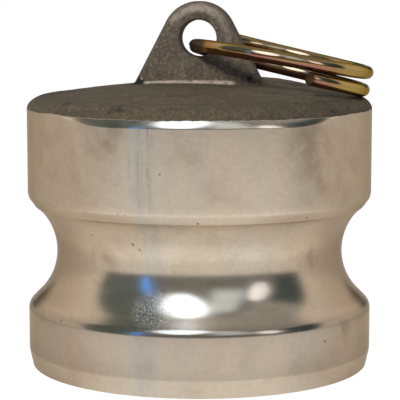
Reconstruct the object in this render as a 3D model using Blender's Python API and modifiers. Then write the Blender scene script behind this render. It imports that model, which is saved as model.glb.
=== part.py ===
"""Dust plug for a 2 in. (DN 50) cam and groove coupler.

A hollow aluminium casting, turned outside with the cam groove, carries an ear on its crown.
A split ring of round wire hangs in the ear's hole and lies on the crown.
The origin is at the centre of the open rim, +Z points to the crown and the ear's plate lies along X.
"""

import math

import bmesh
import bpy
from mathutils import Matrix, Vector

MM = 0.001

# Turned outside: band, groove, band and lead-in taper, from the crown down to the rim.
BODY_DIAMETER = 62.9 * MM
BODY_HEIGHT = 46.8 * MM
GROOVE_DEPTH = 5.25 * MM
GROOVE_RADIUS = 11.0 * MM
GROOVE_CENTRE_HEIGHT = 21.0 * MM
UPPER_FLANK_ANGLE = math.radians(49)
LOWER_FLANK_ANGLE = math.radians(45)
UPPER_BAND_ROUND = 2.9 * MM
LOWER_BAND_ROUND = 2.1 * MM
LEAD_TAPER_HEIGHT = 3.1 * MM
LEAD_TAPER_DEPTH = 0.62 * MM
RIM_CHAMFER = 0.1 * MM

# Cast crown above the turned band.
CROWN_SHOULDER_WIDTH = 4.5 * MM
CROWN_SHOULDER_HEIGHT = 2.6 * MM
CROWN_RISE = 2.3 * MM

# Cored inside, open at the rim.
GROOVE_WALL = 4.2 * MM
ROOF_THICKNESS = 5.4 * MM
ROOF_FILLET = 5.0 * MM
CORE_DRAFT = math.radians(2)
MOUTH_CHAMFER = 0.8 * MM

# Ear, cast in one with the crown.
EAR_THICKNESS = 4.5 * MM
EAR_HOLE_DIAMETER = 6.6 * MM
EAR_HOLE_ABOVE_CROWN = 7.8 * MM
EAR_RIM_WIDTH = 3.4 * MM
EAR_FLANK_ANGLE = math.radians(27.5)
EAR_EDGE_ROUND = 1.1 * MM
EAR_HOLE_EDGE = 0.35 * MM
EAR_FOOT_FILLET = 1.3 * MM
EAR_ROOT_DEPTH = 2.2 * MM

# Split ring of round wire: one turn and a half, sprung a little open.
WIRE_DIAMETER = 2.4 * MM
RING_OUTER_DIAMETER = 33.8 * MM
RING_COIL_GAP = 0.8 * MM
RING_END_GAP = 0.15 * MM
RING_LOWER_END = math.radians(-69)
RING_UPPER_END = math.radians(490)
RING_ROLL = math.radians(-3.35)
RING_HANG_DIRECTION = math.radians(-115)
HOLE_CLEARANCE = 0.45 * MM
REST_CLEARANCE = 0.3 * MM

# Facets.
TURN_STEPS = 80
ARC_STEP = math.radians(7.5)
RING_STEP = math.radians(6)

body_radius = BODY_DIAMETER / 2
groove_root_radius = body_radius - GROOVE_DEPTH
shoulder_height = BODY_HEIGHT + CROWN_SHOULDER_HEIGHT
crown_height = shoulder_height + CROWN_RISE
crown_edge_radius = body_radius - CROWN_SHOULDER_WIDTH
hole_radius = EAR_HOLE_DIAMETER / 2
hole_height = crown_height + EAR_HOLE_ABOVE_CROWN
ear_top_radius = hole_radius + EAR_RIM_WIDTH
wire_radius = WIRE_DIAMETER / 2
ring_radius = RING_OUTER_DIAMETER / 2 - wire_radius
ring_pitch = WIRE_DIAMETER + RING_COIL_GAP
hang = hole_radius - wire_radius - HOLE_CLEARANCE
ring_pivot = Vector((
    hang * math.cos(RING_HANG_DIRECTION),
    0,
    hole_height + hang * math.sin(RING_HANG_DIRECTION),
))


def arc(centre, radius, start, end, step=ARC_STEP):
    """Points (r, z) on an arc from one angle to another, both ends included."""
    count = max(2, math.ceil(abs(end - start) / step))
    angles = (start + (end - start) * i / count for i in range(count + 1))
    return [(centre[0] + radius * math.cos(a), centre[1] + radius * math.sin(a)) for a in angles]


def crown_profile():
    """The cast crown from its centre out to the turned band: a shallow bowl and a rounded shoulder."""
    points = []
    steps = 8
    for i in range(steps):
        r = crown_edge_radius * i / steps
        points.append((r, crown_height - CROWN_RISE * (r / crown_edge_radius) ** 2))
    for i in range(8):
        a = math.pi / 2 * (1 - i / 7)
        points.append((
            crown_edge_radius + CROWN_SHOULDER_WIDTH * math.cos(a),
            BODY_HEIGHT + CROWN_SHOULDER_HEIGHT * math.sin(a),
        ))
    return points


def crown_surface(r):
    """Height of the crown at a radius, between the profile's points."""
    points = crown_profile()
    for (r0, z0), (r1, z1) in zip(points, points[1:]):
        if r <= r1:
            return z0 + (z1 - z0) * (r - r0) / (r1 - r0)
    return points[-1][1]


def band_round(side, flank, radius):
    """A band's rounded edge at the groove. side is 1 above the groove and -1 below it.

    It starts at the band and ends on the flank, which runs at the flank angle to the groove's arc.
    """
    groove_centre = groove_root_radius + GROOVE_RADIUS
    joint_r = groove_centre - GROOVE_RADIUS * math.cos(flank)
    joint_z = GROOVE_RADIUS * math.sin(flank)
    corner_z = joint_z + (body_radius - joint_r) / math.tan(flank)
    start_z = corner_z + radius * math.tan(flank / 2)
    centre = (body_radius - radius, GROOVE_CENTRE_HEIGHT + side * start_z)
    return arc(centre, radius, 0, -side * flank)


def outer_profile():
    """The turned outside from the cast crown's edge down to the rim."""
    groove_centre = (groove_root_radius + GROOVE_RADIUS, GROOVE_CENTRE_HEIGHT)
    groove = arc(
        groove_centre,
        GROOVE_RADIUS,
        math.pi - UPPER_FLANK_ANGLE,
        math.pi + LOWER_FLANK_ANGLE,
    )
    upper = band_round(1, UPPER_FLANK_ANGLE, UPPER_BAND_ROUND)
    lower = band_round(-1, LOWER_FLANK_ANGLE, LOWER_BAND_ROUND)
    rim_radius = body_radius - LEAD_TAPER_DEPTH
    return [
        *upper,
        *groove,
        *reversed(lower),
        (body_radius, LEAD_TAPER_HEIGHT),
        (rim_radius, RIM_CHAMFER),
        (rim_radius - RIM_CHAMFER, 0),
    ]


def core_profile():
    """The cored inside from the rim up to the middle of the roof."""
    def wall(z):
        return groove_root_radius - GROOVE_WALL + (GROOVE_CENTRE_HEIGHT - z) * math.tan(CORE_DRAFT)

    roof = crown_height - ROOF_THICKNESS
    fillet_z = roof - ROOF_FILLET * (1 + math.sin(CORE_DRAFT))
    fillet_centre = (wall(fillet_z) - ROOF_FILLET / math.cos(CORE_DRAFT), roof - ROOF_FILLET)
    fillet = arc(fillet_centre, ROOF_FILLET, CORE_DRAFT, math.pi / 2, 2 * ARC_STEP)
    return [
        (wall(0) + MOUTH_CHAMFER, 0),
        (wall(MOUTH_CHAMFER), MOUTH_CHAMFER),
        *fillet,
        (0, roof),
    ]


def ear_half_width(z, inset=0.0):
    """Half the ear's width at a height on its straight flanks."""
    slope = math.tan(EAR_FLANK_ANGLE)
    return (ear_top_radius - inset) / math.cos(EAR_FLANK_ANGLE) + (hole_height - z) * slope


def ring_point(angle):
    """A point of the ring's centre line, from the wire's middle in the ear's hole.

    At angle pi the wire is in the hole, and at 0 and 2 pi it is at the far side. The lower end
    springs back up until it all but meets the turn above it.
    """
    rise = ring_pitch * (angle - math.pi) / (2 * math.pi)
    if angle < 0:
        closing = RING_COIL_GAP - RING_END_GAP
        rise += closing * (angle / RING_LOWER_END) ** 1.5
    return Vector((ring_radius * (1 + math.cos(angle)), ring_radius * math.sin(angle), rise))


def ring_matrix(tilt):
    """Places the ring: rolled about its long axis, then tilted down about the hole."""
    turn = Matrix.Rotation(tilt, 4, "Y") @ Matrix.Rotation(RING_ROLL, 4, "X")
    return Matrix.Translation(ring_pivot) @ turn


def ring_centre_line():
    count = math.ceil((RING_UPPER_END - RING_LOWER_END) / RING_STEP)
    span = RING_UPPER_END - RING_LOWER_END
    return [ring_point(RING_LOWER_END + span * i / count) for i in range(count + 1)]


def clearance_to_crown(points):
    """The least distance from the wire's surface to the crown."""
    crown = [Vector((r, z)) for r, z in crown_profile()]
    least = math.inf
    for point in points:
        here = Vector((math.hypot(point.x, point.y), point.z))
        for a, b in zip(crown, crown[1:]):
            along = max(0.0, min(1.0, (here - a).dot(b - a) / (b - a).length_squared))
            least = min(least, (here - a.lerp(b, along)).length)
    return least - wire_radius


def resting_tilt():
    """The tilt at which the ring lies on the crown, by halving."""
    line = ring_centre_line()
    low = 0.0
    high = math.radians(45)
    for _ in range(24):
        middle = (low + high) / 2
        placed = [ring_matrix(middle) @ point for point in line]
        if clearance_to_crown(placed) > REST_CLEARANCE:
            low = middle
        else:
            high = middle
    return low


def material(name, colour, metallic, roughness):
    made = bpy.data.materials.new(name)
    made.use_nodes = True
    shader = made.node_tree.nodes["Principled BSDF"]
    shader.inputs["Base Color"].default_value = (*colour, 1)
    shader.inputs["Metallic"].default_value = metallic
    shader.inputs["Roughness"].default_value = roughness
    return made


def add_object(name, data, collection):
    made = bpy.data.objects.new(name, data)
    collection.objects.link(made)
    return made


def hide(tool):
    tool.hide_render = True
    tool.display_type = "WIRE"


def profile_object(name, points, collection, steps):
    """A turned shape: its profile with a Screw modifier about Z."""
    mesh = bpy.data.meshes.new(name)
    edges = [(i, i + 1) for i in range(len(points) - 1)]
    mesh.from_pydata([(r, 0, z) for r, z in points], edges, [])
    made = add_object(name, mesh, collection)
    turn = made.modifiers.new("Turn", "SCREW")
    turn.angle = 2 * math.pi
    turn.screw_offset = 0
    turn.steps = steps
    turn.render_steps = steps
    turn.use_merge_vertices = True
    turn.merge_threshold = 0.00001
    turn.use_smooth_shade = True
    return made


def join(target, tool, operation):
    step = target.modifiers.new(tool.name, "BOOLEAN")
    step.operation = operation
    step.object = tool
    step.solver = "EXACT"


def as_mesh(curve_object, collection):
    """The curve's mesh with its caps welded on, as an object in the curve's place."""
    graph = bpy.context.evaluated_depsgraph_get()
    mesh = bpy.data.meshes.new_from_object(curve_object.evaluated_get(graph))
    work = bmesh.new()
    work.from_mesh(mesh)
    bmesh.ops.remove_doubles(work, verts=work.verts, dist=1e-6)
    bmesh.ops.recalc_face_normals(work, faces=work.faces)
    work.to_mesh(mesh)
    work.free()
    name = curve_object.name
    matrix = curve_object.matrix_world.copy()
    bpy.data.objects.remove(curve_object)
    made = add_object(name, mesh, collection)
    made.matrix_world = matrix
    return made


def add_ear_plate(collection):
    """The ear's plate: a round head over flared flanks, its edges rounded by the curve's bevel."""
    inset_radius = ear_top_radius - EAR_EDGE_ROUND
    head = arc((0, 0), inset_radius, EAR_FLANK_ANGLE, math.pi - EAR_FLANK_ANGLE, 1.5 * ARC_STEP)
    root = crown_height - EAR_ROOT_DEPTH + EAR_EDGE_ROUND
    half = ear_half_width(root, EAR_EDGE_ROUND)
    outline = [*head, (-half, root - hole_height), (half, root - hole_height)]
    curve = bpy.data.curves.new("ear_plate", "CURVE")
    curve.dimensions = "2D"
    curve.fill_mode = "BOTH"
    curve.extrude = EAR_THICKNESS / 2 - EAR_EDGE_ROUND
    curve.bevel_depth = EAR_EDGE_ROUND
    curve.bevel_resolution = 2
    spline = curve.splines.new("POLY")
    spline.points.add(len(outline) - 1)
    for point, (x, y) in zip(spline.points, outline):
        point.co = (x, y, 0, 1)
    spline.use_cyclic_u = True
    made = add_object("ear_plate", curve, collection)
    made.location = (0, 0, hole_height)
    made.rotation_euler = (math.pi / 2, 0, 0)
    bpy.context.view_layer.update()
    return as_mesh(made, collection)


def foot_section(work, grow, lift):
    """One section of the ear's foot: the plate's outline grown sideways, laid over the crown."""
    half = ear_half_width(crown_height)
    for _ in range(4):
        half = ear_half_width(crown_surface(half) + lift)
    corner = EAR_EDGE_ROUND + grow
    inner_x = half - EAR_EDGE_ROUND
    inner_y = EAR_THICKNESS / 2 - EAR_EDGE_ROUND
    loop = []
    for quarter, (sx, sy) in enumerate(((1, 1), (-1, 1), (-1, -1), (1, -1))):
        loop += arc((sx * inner_x, sy * inner_y), corner, quarter * math.pi / 2, (quarter + 1) * math.pi / 2, 3 * ARC_STEP)
        if quarter in (0, 2):
            side = inner_y + corner if quarter == 0 else -inner_y - corner
            loop += [(sx * inner_x * (1 - i / 4), side) for i in range(1, 8)]
    return [work.verts.new((x, y, crown_surface(math.hypot(x, y)) + lift)) for x, y in loop]


def add_ear_foot(collection):
    """The concave fillet between ear and crown, lofted from sections that follow the crown."""
    work = bmesh.new()
    sections = [foot_section(work, EAR_FOOT_FILLET * 0.74, -EAR_ROOT_DEPTH / 2)]
    for degrees in (15, 40, 65, 82):
        a = math.radians(degrees)
        grow = EAR_FOOT_FILLET * (1 - math.sin(a))
        lift = EAR_FOOT_FILLET * (1 - math.cos(a))
        sections.append(foot_section(work, grow, lift))
    sections.append(foot_section(work, -EAR_FOOT_FILLET * 0.2, EAR_FOOT_FILLET * 1.1))
    for low, high in zip(sections, sections[1:]):
        count = len(low)
        for i in range(count):
            j = (i + 1) % count
            work.faces.new((low[i], low[j], high[j], high[i]))
    work.faces.new(list(reversed(sections[0])))
    work.faces.new(sections[-1])
    bmesh.ops.triangulate(work, faces=[f for f in work.faces if len(f.verts) > 4])
    bmesh.ops.recalc_face_normals(work, faces=work.faces)
    mesh = bpy.data.meshes.new("ear_foot")
    work.to_mesh(mesh)
    work.free()
    return add_object("ear_foot", mesh, collection)


def add_ear_hole(collection):
    """The cutter for the ear's hole, flared at both faces for their broken edges."""
    face = EAR_THICKNESS / 2
    wide = hole_radius + 2 * EAR_HOLE_EDGE
    points = [
        (0, face + EAR_HOLE_EDGE),
        (wide, face + EAR_HOLE_EDGE),
        (hole_radius, face - EAR_HOLE_EDGE),
        (hole_radius, EAR_HOLE_EDGE - face),
        (wide, -face - EAR_HOLE_EDGE),
        (0, -face - EAR_HOLE_EDGE),
    ]
    made = profile_object("ear_hole", points, collection, 40)
    made.location = (0, 0, hole_height)
    made.rotation_euler = (math.pi / 2, 0, 0)
    return made


def add_plug_body(collection, cutters):
    points = [*crown_profile(), *outer_profile(), *core_profile()]
    body = profile_object("plug_body", points, collection, TURN_STEPS)
    plate = add_ear_plate(cutters)
    foot = add_ear_foot(cutters)
    hole = add_ear_hole(cutters)
    for tool in (plate, foot, hole):
        hide(tool)
    join(body, foot, "UNION")
    join(body, plate, "UNION")
    join(body, hole, "DIFFERENCE")
    body.data.materials.append(material("cast_aluminium", (0.46, 0.42, 0.36), 1.0, 0.42))
    return body


def add_split_ring(collection):
    """The ring as a wire along its coil. Its parent empty stands on the swing axis in the hole."""
    pivot = add_object("ring_pivot", None, collection)
    pivot.location = ring_pivot
    line = ring_centre_line()
    tilt = resting_tilt()
    curve = bpy.data.curves.new("split_ring", "CURVE")
    curve.dimensions = "3D"
    curve.bevel_depth = wire_radius
    curve.bevel_resolution = 4
    curve.use_fill_caps = True
    spline = curve.splines.new("POLY")
    spline.points.add(len(line) - 1)
    for point, place in zip(spline.points, line):
        point.co = (*place, 1)
    ring = add_object("split_ring", curve, collection)
    ring.parent = pivot
    ring.rotation_euler = (Matrix.Rotation(tilt, 3, "Y") @ Matrix.Rotation(RING_ROLL, 3, "X")).to_euler()
    curve.materials.append(material("yellow_zinc", (0.62, 0.47, 0.16), 1.0, 0.25))
    return ring


def main():
    for old in list(bpy.data.objects):
        bpy.data.objects.remove(old, do_unlink=True)
    parts = bpy.data.collections.new("dust_plug")
    cutters = bpy.data.collections.new("cutters")
    for collection in (parts, cutters):
        bpy.context.scene.collection.children.link(collection)
    cutters.hide_render = True
    add_plug_body(parts, cutters)
    add_split_ring(parts)


main()
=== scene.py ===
import math
import bmesh
import bpy
from mathutils import Matrix, Vector, noise


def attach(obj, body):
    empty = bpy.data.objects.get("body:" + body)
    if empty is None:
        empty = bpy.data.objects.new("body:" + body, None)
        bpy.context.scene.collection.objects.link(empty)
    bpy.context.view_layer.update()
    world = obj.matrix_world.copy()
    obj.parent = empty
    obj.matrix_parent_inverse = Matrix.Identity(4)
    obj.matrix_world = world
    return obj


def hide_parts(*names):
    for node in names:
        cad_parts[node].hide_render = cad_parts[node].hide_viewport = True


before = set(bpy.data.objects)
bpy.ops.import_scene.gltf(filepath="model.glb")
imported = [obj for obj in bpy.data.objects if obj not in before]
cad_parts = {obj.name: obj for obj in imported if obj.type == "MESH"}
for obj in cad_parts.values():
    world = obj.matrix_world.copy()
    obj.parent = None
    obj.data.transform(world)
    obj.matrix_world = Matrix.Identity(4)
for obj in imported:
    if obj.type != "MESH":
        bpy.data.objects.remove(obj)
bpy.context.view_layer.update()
mm = 0.001
weld = 1e-6
fineWeld = 1e-7
print("stage: frame loaded")


# Mesh helpers

def smooth(obj, smoothAngle=38):
    obj.data.shade_smooth()
    obj.data.set_sharp_from_angle(angle=math.radians(smoothAngle))


def makeObject(bm, name, smoothAngle=38):
    bmesh.ops.remove_doubles(bm, verts=bm.verts, dist=weld)
    bmesh.ops.recalc_face_normals(bm, faces=bm.faces)
    mesh = bpy.data.meshes.new(name)
    bm.to_mesh(mesh)
    bm.free()
    obj = bpy.data.objects.new(name, mesh)
    bpy.context.scene.collection.objects.link(obj)
    smooth(obj, smoothAngle)
    return obj


def applyBoolean(target, tool, operation):
    step = target.modifiers.new("join", "BOOLEAN")
    step.operation = operation
    step.solver = "EXACT"
    step.object = tool
    graph = bpy.context.evaluated_depsgraph_get()
    target.data = bpy.data.meshes.new_from_object(target.evaluated_get(graph))
    target.modifiers.clear()
    bpy.data.objects.remove(tool)


def lineTo(bm, vert, r, z):
    made = bmesh.ops.extrude_vert_indiv(bm, verts=[vert])["verts"][0]
    made.co = (r, 0, z)
    return made


# Carries a profile on round a centre in the XZ plane, anticlockwise for positive degrees.
def arcTo(bm, vert, centreR, centreZ, degrees, steps):
    made = bmesh.ops.spin(bm, geom=[vert], cent=(centreR, 0, centreZ), axis=(0, -1, 0), dvec=(0, 0, 0),
                          angle=math.radians(degrees), steps=steps, use_duplicate=False)["geom_last"]
    return next(g for g in made if isinstance(g, bmesh.types.BMVert))


def revolve(bm, axis, steps):
    bmesh.ops.spin(bm, geom=bm.verts[:] + bm.edges[:], cent=(0, 0, 0), axis=axis, dvec=(0, 0, 0),
                   angle=math.tau, steps=steps, use_merge=True, use_duplicate=False)


# 0 up to low, 1 from high, smooth between.
def ease(value, low, high):
    t = max(0.0, min(1.0, (value - low) / (high - low)))
    return t * t * (3 - 2 * t)


# The casting: turned outside, cored inside, with a crown as cast

casting = {
    "bandRadius": 31.45 * mm,
    "bandTop": 46.8 * mm,
    "shoulderWidth": 4.5 * mm,
    "shoulderHeight": 2.6 * mm,
    "crownRise": 2.3 * mm,
    "crownSwell": 1.05,           # in mm, behind and right of the ear
    "crownDipLeft": 0.13,
    "crownDipFront": 0.38,
    "grooveDepth": 5.25 * mm,
    "grooveRadius": 11.0 * mm,
    "grooveHeight": 21.0 * mm,
    "upperFlank": 49.0,
    "upperFlankCut": 7.0,         # degrees of the upper flank that the chamfer takes away
    "lowerFlank": 45.0,
    "upperRound": 2.9 * mm,
    "chamferTop": 30.75 * mm,     # below this the rounded edge runs on as a chamfer
    "chamferEnd": 29.32 * mm,
    "chamferAngle": 35.5,
    "lowerRound": 2.1 * mm,
    "taperHeight": 3.1 * mm,
    "taperDepth": 0.62 * mm,
    "taperRound": 0.25 * mm,
    "rimChamfer": 0.1 * mm,
    "grooveWall": 4.2 * mm,
    "roofThickness": 5.4 * mm,
    "roofFillet": 5.0 * mm,
    "coreDraft": 2.0,
    "mouthChamfer": 0.8 * mm,
    "easedEdge": 1.35 * mm,       # height of the crescent eased off the front of the top edge
    "easedRadius": 3.2 * mm,
    "easedStart": 16.5,           # its lean in degrees where it leaves the band
    "easedReach": 58.0,           # degrees to either side of the front where it has run out
    "castUnevenness": 0.05 * mm,
    "coarseGrain": 420,           # per metre
    "fineGrain": 1100,
    "turnSteps": 288,
    "crownRings": 40,
    "shoulderRings": 12,
    "easedRings": 14,
    "grooveRings": 44,
    "wallRings": 8,
}
crownEdge = casting["bandRadius"] - casting["shoulderWidth"]
shoulderTop = casting["bandTop"] + casting["shoulderHeight"]
crownTop = shoulderTop + casting["crownRise"]
roofHeight = crownTop - casting["roofThickness"]
frontTurn = math.radians(7)       # the photographed front lies this far round from the ear's own face


# The true crown, before its unevenness.
def crownHeight(r):
    if r <= crownEdge:
        return crownTop - casting["crownRise"] * (r / crownEdge) ** 2
    out = min(1.0, (r - crownEdge) / casting["shoulderWidth"])
    return casting["bandTop"] + casting["shoulderHeight"] * math.sqrt(1 - out * out)


# How far the crown as cast stands above or below the true one.
def crownLean(x, y):
    behind = ease(y, -1.5 * mm, 3 * mm)
    right = math.exp(-((x - 0.0125) ** 2 + (y - 0.008) ** 2) / (2 * 0.0072 ** 2)) * behind
    left = math.exp(-((x + 0.014) ** 2 + y * y) / (2 * 0.011 ** 2))
    front = math.exp(-((x - 0.006) ** 2 / 0.011 ** 2 + (y + 0.004) ** 2 / 0.006 ** 2)) * (1 - behind)
    edge = math.hypot(x, y) / casting["bandRadius"]
    lean = casting["crownSwell"] * right - casting["crownDipLeft"] * left - casting["crownDipFront"] * front
    return lean * mm * max(0.0, 1 - edge ** 4)


def castGrain(co, amount):
    return amount * (noise.noise(co * casting["coarseGrain"]) + 0.6 * noise.noise(co * casting["fineGrain"]))


# How far the top edge is eased inwards, on the front only.
def easedInset(co):
    angle = math.degrees(abs(math.atan2(co.x * math.cos(frontTurn) + co.y * math.sin(frontTurn),
                                        co.x * math.sin(frontTurn) - co.y * math.cos(frontTurn))))
    reach = 1 - ease(angle, 35, casting["easedReach"])
    height = casting["easedEdge"] * (1 - ease(angle, 28, casting["easedReach"]))
    up = min(co.z - (casting["bandTop"] - height), height)
    if up <= 0:
        return 0.0
    inset = casting["easedRadius"] * (1 - math.sqrt(1 - (up / casting["easedRadius"]) ** 2))
    inset += up * math.tan(math.radians(casting["easedStart"]))
    return inset * reach * (1 - ease(co.z, casting["bandTop"], shoulderTop))


# How far from the groove's middle the band ends and its edge begins to round.
def roundStart(flank, rounding):
    flank = math.radians(flank)
    centre = casting["bandRadius"] - casting["grooveDepth"] + casting["grooveRadius"]
    jointR = centre - casting["grooveRadius"] * math.cos(flank)
    corner = casting["grooveRadius"] * math.sin(flank) + (casting["bandRadius"] - jointR) / math.tan(flank)
    return corner + rounding * math.tan(flank / 2)


# The radius of the hollow's tapered wall at a height.
def coreWall(z):
    root = casting["bandRadius"] - casting["grooveDepth"] - casting["grooveWall"]
    return root + (casting["grooveHeight"] - z) * math.tan(math.radians(casting["coreDraft"]))


def drawCrown(bm):
    c = casting
    v = bmesh.ops.create_vert(bm, co=(0, 0, crownTop))["vert"][0]
    for i in range(1, c["crownRings"] + 1):
        r = crownEdge * i / c["crownRings"]
        v = lineTo(bm, v, r, crownHeight(r))
    for i in range(1, c["shoulderRings"] + 1):
        a = math.pi / 2 * (1 - i / c["shoulderRings"])
        v = lineTo(bm, v, crownEdge + c["shoulderWidth"] * math.cos(a),
                   c["bandTop"] + c["shoulderHeight"] * math.sin(a))
    for i in range(1, c["easedRings"] + 1):
        v = lineTo(bm, v, c["bandRadius"], c["bandTop"] - c["easedEdge"] * i / c["easedRings"])
    for below in (0.1 * mm, 0.5 * mm, 3 * mm):
        v = lineTo(bm, v, c["bandRadius"], c["bandTop"] - c["easedEdge"] - below)
    return v


def drawOutside(bm, v):
    c = casting
    grooveCentre = c["bandRadius"] - c["grooveDepth"] + c["grooveRadius"]
    upperStart = c["grooveHeight"] + roundStart(c["upperFlank"], c["upperRound"])
    lowerStart = c["grooveHeight"] - roundStart(c["lowerFlank"], c["lowerRound"])
    v = lineTo(bm, v, c["bandRadius"], upperStart + 0.5 * mm)
    v = lineTo(bm, v, c["bandRadius"], upperStart)
    roundTurn = math.degrees(math.asin((upperStart - c["chamferTop"]) / c["upperRound"]))
    v = arcTo(bm, v, c["bandRadius"] - c["upperRound"], upperStart, -roundTurn, 8)
    chamferR = v.co.x - (v.co.z - c["chamferEnd"]) * math.tan(math.radians(c["chamferAngle"]))
    for out, up in ((0.1 * mm, 0.14 * mm), (0, 0), (-0.14 * mm, -0.11 * mm)):
        v = lineTo(bm, v, chamferR + out, c["chamferEnd"] + up)
    joint = c["upperFlank"] - c["upperFlankCut"]
    v = lineTo(bm, v, grooveCentre - c["grooveRadius"] * math.cos(math.radians(joint)),
               c["grooveHeight"] + c["grooveRadius"] * math.sin(math.radians(joint)))
    v = arcTo(bm, v, grooveCentre, c["grooveHeight"], joint + c["lowerFlank"], c["grooveRings"])
    flankEnd = math.radians(c["lowerFlank"])
    roundR = c["bandRadius"] - c["lowerRound"]
    v = lineTo(bm, v, roundR + c["lowerRound"] * math.cos(flankEnd),
               lowerStart + c["lowerRound"] * math.sin(flankEnd))
    v = arcTo(bm, v, roundR, lowerStart, -c["lowerFlank"], 14)
    v = lineTo(bm, v, c["bandRadius"], lowerStart - 0.4 * mm)
    v = lineTo(bm, v, c["bandRadius"], c["taperHeight"] + c["taperRound"])
    v = lineTo(bm, v, c["bandRadius"] - 0.04 * c["taperDepth"], c["taperHeight"] - c["taperRound"])
    rim = c["bandRadius"] - c["taperDepth"]
    v = lineTo(bm, v, rim, c["rimChamfer"])
    return lineTo(bm, v, rim - c["rimChamfer"], 0)


def drawInside(bm, v):
    c = casting
    draft = math.radians(c["coreDraft"])
    v = lineTo(bm, v, coreWall(0) + c["mouthChamfer"], 0)
    v = lineTo(bm, v, coreWall(c["mouthChamfer"]), c["mouthChamfer"])
    filletZ = roofHeight - c["roofFillet"] * (1 - math.sin(draft))
    for i in range(1, c["wallRings"] + 1):
        z = c["mouthChamfer"] + (filletZ - c["mouthChamfer"]) * i / c["wallRings"]
        v = lineTo(bm, v, coreWall(z), z)
    v = arcTo(bm, v, v.co.x - c["roofFillet"] * math.cos(draft), roofHeight - c["roofFillet"],
              90 - c["coreDraft"], 10)
    for share in (0.66, 0.5, 0):
        v = lineTo(bm, v, v.co.x * share, v.co.z)


# Eases the top edge, and makes the crown and the hollow uneven as cast.
def roughenCasting(bm):
    c = casting
    for vert in bm.verts:
        co = vert.co
        r = math.hypot(co.x, co.y)
        if r > 28 * mm or co.z > roofHeight + 0.5 * mm:
            inset = easedInset(co)
            if inset and r > 0:
                co.x -= co.x / r * inset
                co.y -= co.y / r * inset
            if co.z > c["bandTop"] + 0.3 * mm:
                co.z += crownLean(co.x, co.y) + castGrain(co, c["castUnevenness"])
        elif r < coreWall(0) and co.z > 2 * mm:
            rough = castGrain(co, c["castUnevenness"] * 1.5)
            co.x += co.x * rough / max(r, mm)
            co.y += co.y * rough / max(r, mm)


def addCasting():
    bm = bmesh.new()
    drawInside(bm, drawOutside(bm, drawCrown(bm)))
    revolve(bm, (0, 0, 1), casting["turnSteps"])
    bmesh.ops.remove_doubles(bm, verts=bm.verts, dist=weld)
    bmesh.ops.recalc_face_normals(bm, faces=bm.faces)
    roughenCasting(bm)
    return makeObject(bm, "plugCasting")


# The ear, cast in one with the crown

ear = {
    "thickness": 4.5 * mm,
    "holeRadius": 3.3 * mm,
    "holeAboveCrown": 7.8 * mm,
    "rimWidth": 3.4 * mm,
    "flankAngle": 27.5,
    "flankSteps": 8,
    "edgeRound": 1.1 * mm,
    "holeEdge": 0.35 * mm,
    "footFillet": 0.5 * mm,
    "footSunk": 1.1 * mm,         # how far the foot reaches down into the crown
    "footOverlap": 0.3 * mm,      # and its top into the ear
    "footLean": 0.35 * mm,        # how far the left end of the foot is drawn out
    "rootDepth": 2.6 * mm,
}
holeHeight = crownTop + ear["holeAboveCrown"]


def earHalfWidth(z):
    slope = math.radians(ear["flankAngle"])
    return (ear["holeRadius"] + ear["rimWidth"]) / math.cos(slope) + (holeHeight - z) * math.tan(slope)


def flankTo(bm, vert, end):
    start = vert.co.copy()
    for i in range(1, ear["flankSteps"] + 1):
        p = start.lerp(end, i / ear["flankSteps"])
        vert = lineTo(bm, vert, p.x, p.z)
    return vert


def addEarPlate():
    bm = bmesh.new()
    root = crownTop - ear["rootDepth"]
    half = earHalfWidth(root)
    headRadius = ear["holeRadius"] + ear["rimWidth"]
    slope = math.radians(ear["flankAngle"])
    v = bmesh.ops.create_vert(bm, co=(half, 0, root))["vert"][0]
    headStart = (headRadius * math.cos(slope), 0, holeHeight + headRadius * math.sin(slope))
    v = flankTo(bm, v, Vector(headStart))
    v = arcTo(bm, v, 0, holeHeight, 180 - 2 * ear["flankAngle"], 36)
    flankTo(bm, v, Vector((-half, 0, root)))
    bmesh.ops.remove_doubles(bm, verts=bm.verts, dist=fineWeld)
    ends = [v for v in bm.verts if abs(v.co.z - root) < weld]
    bmesh.ops.contextual_create(bm, geom=ends)
    bmesh.ops.translate(bm, verts=bm.verts, vec=(0, -ear["thickness"] / 2, 0))
    face = bmesh.ops.contextual_create(bm, geom=bm.edges[:])["faces"]
    made = bmesh.ops.extrude_face_region(bm, geom=face)["geom"]
    far = [g for g in made if isinstance(g, bmesh.types.BMVert)]
    bmesh.ops.translate(bm, verts=far, vec=(0, ear["thickness"], 0))
    bmesh.ops.recalc_face_normals(bm, faces=bm.faces)
    rims = [e for e in bm.edges if abs(e.verts[0].co.y - e.verts[1].co.y) < weld]
    bmesh.ops.bevel(bm, geom=rims, offset=ear["edgeRound"], offset_type="OFFSET", affect="EDGES",
                    segments=6, profile=0.5, material=-1, clamp_overlap=True)
    return makeObject(bm, "earPlate")


# The foot's levels from the crown up: how far out of the ear's wall, and how high above the crown.
def footLevels():
    fillet = ear["footFillet"]
    levels = [(fillet * 0.9, -ear["footSunk"])]
    for degrees in range(8, 84, 8):
        a = math.radians(degrees)
        levels.append((fillet * (1 - math.sin(a)), fillet * (1 - math.cos(a))))
    return levels + [(-ear["footOverlap"], fillet * 1.1)]


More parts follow.
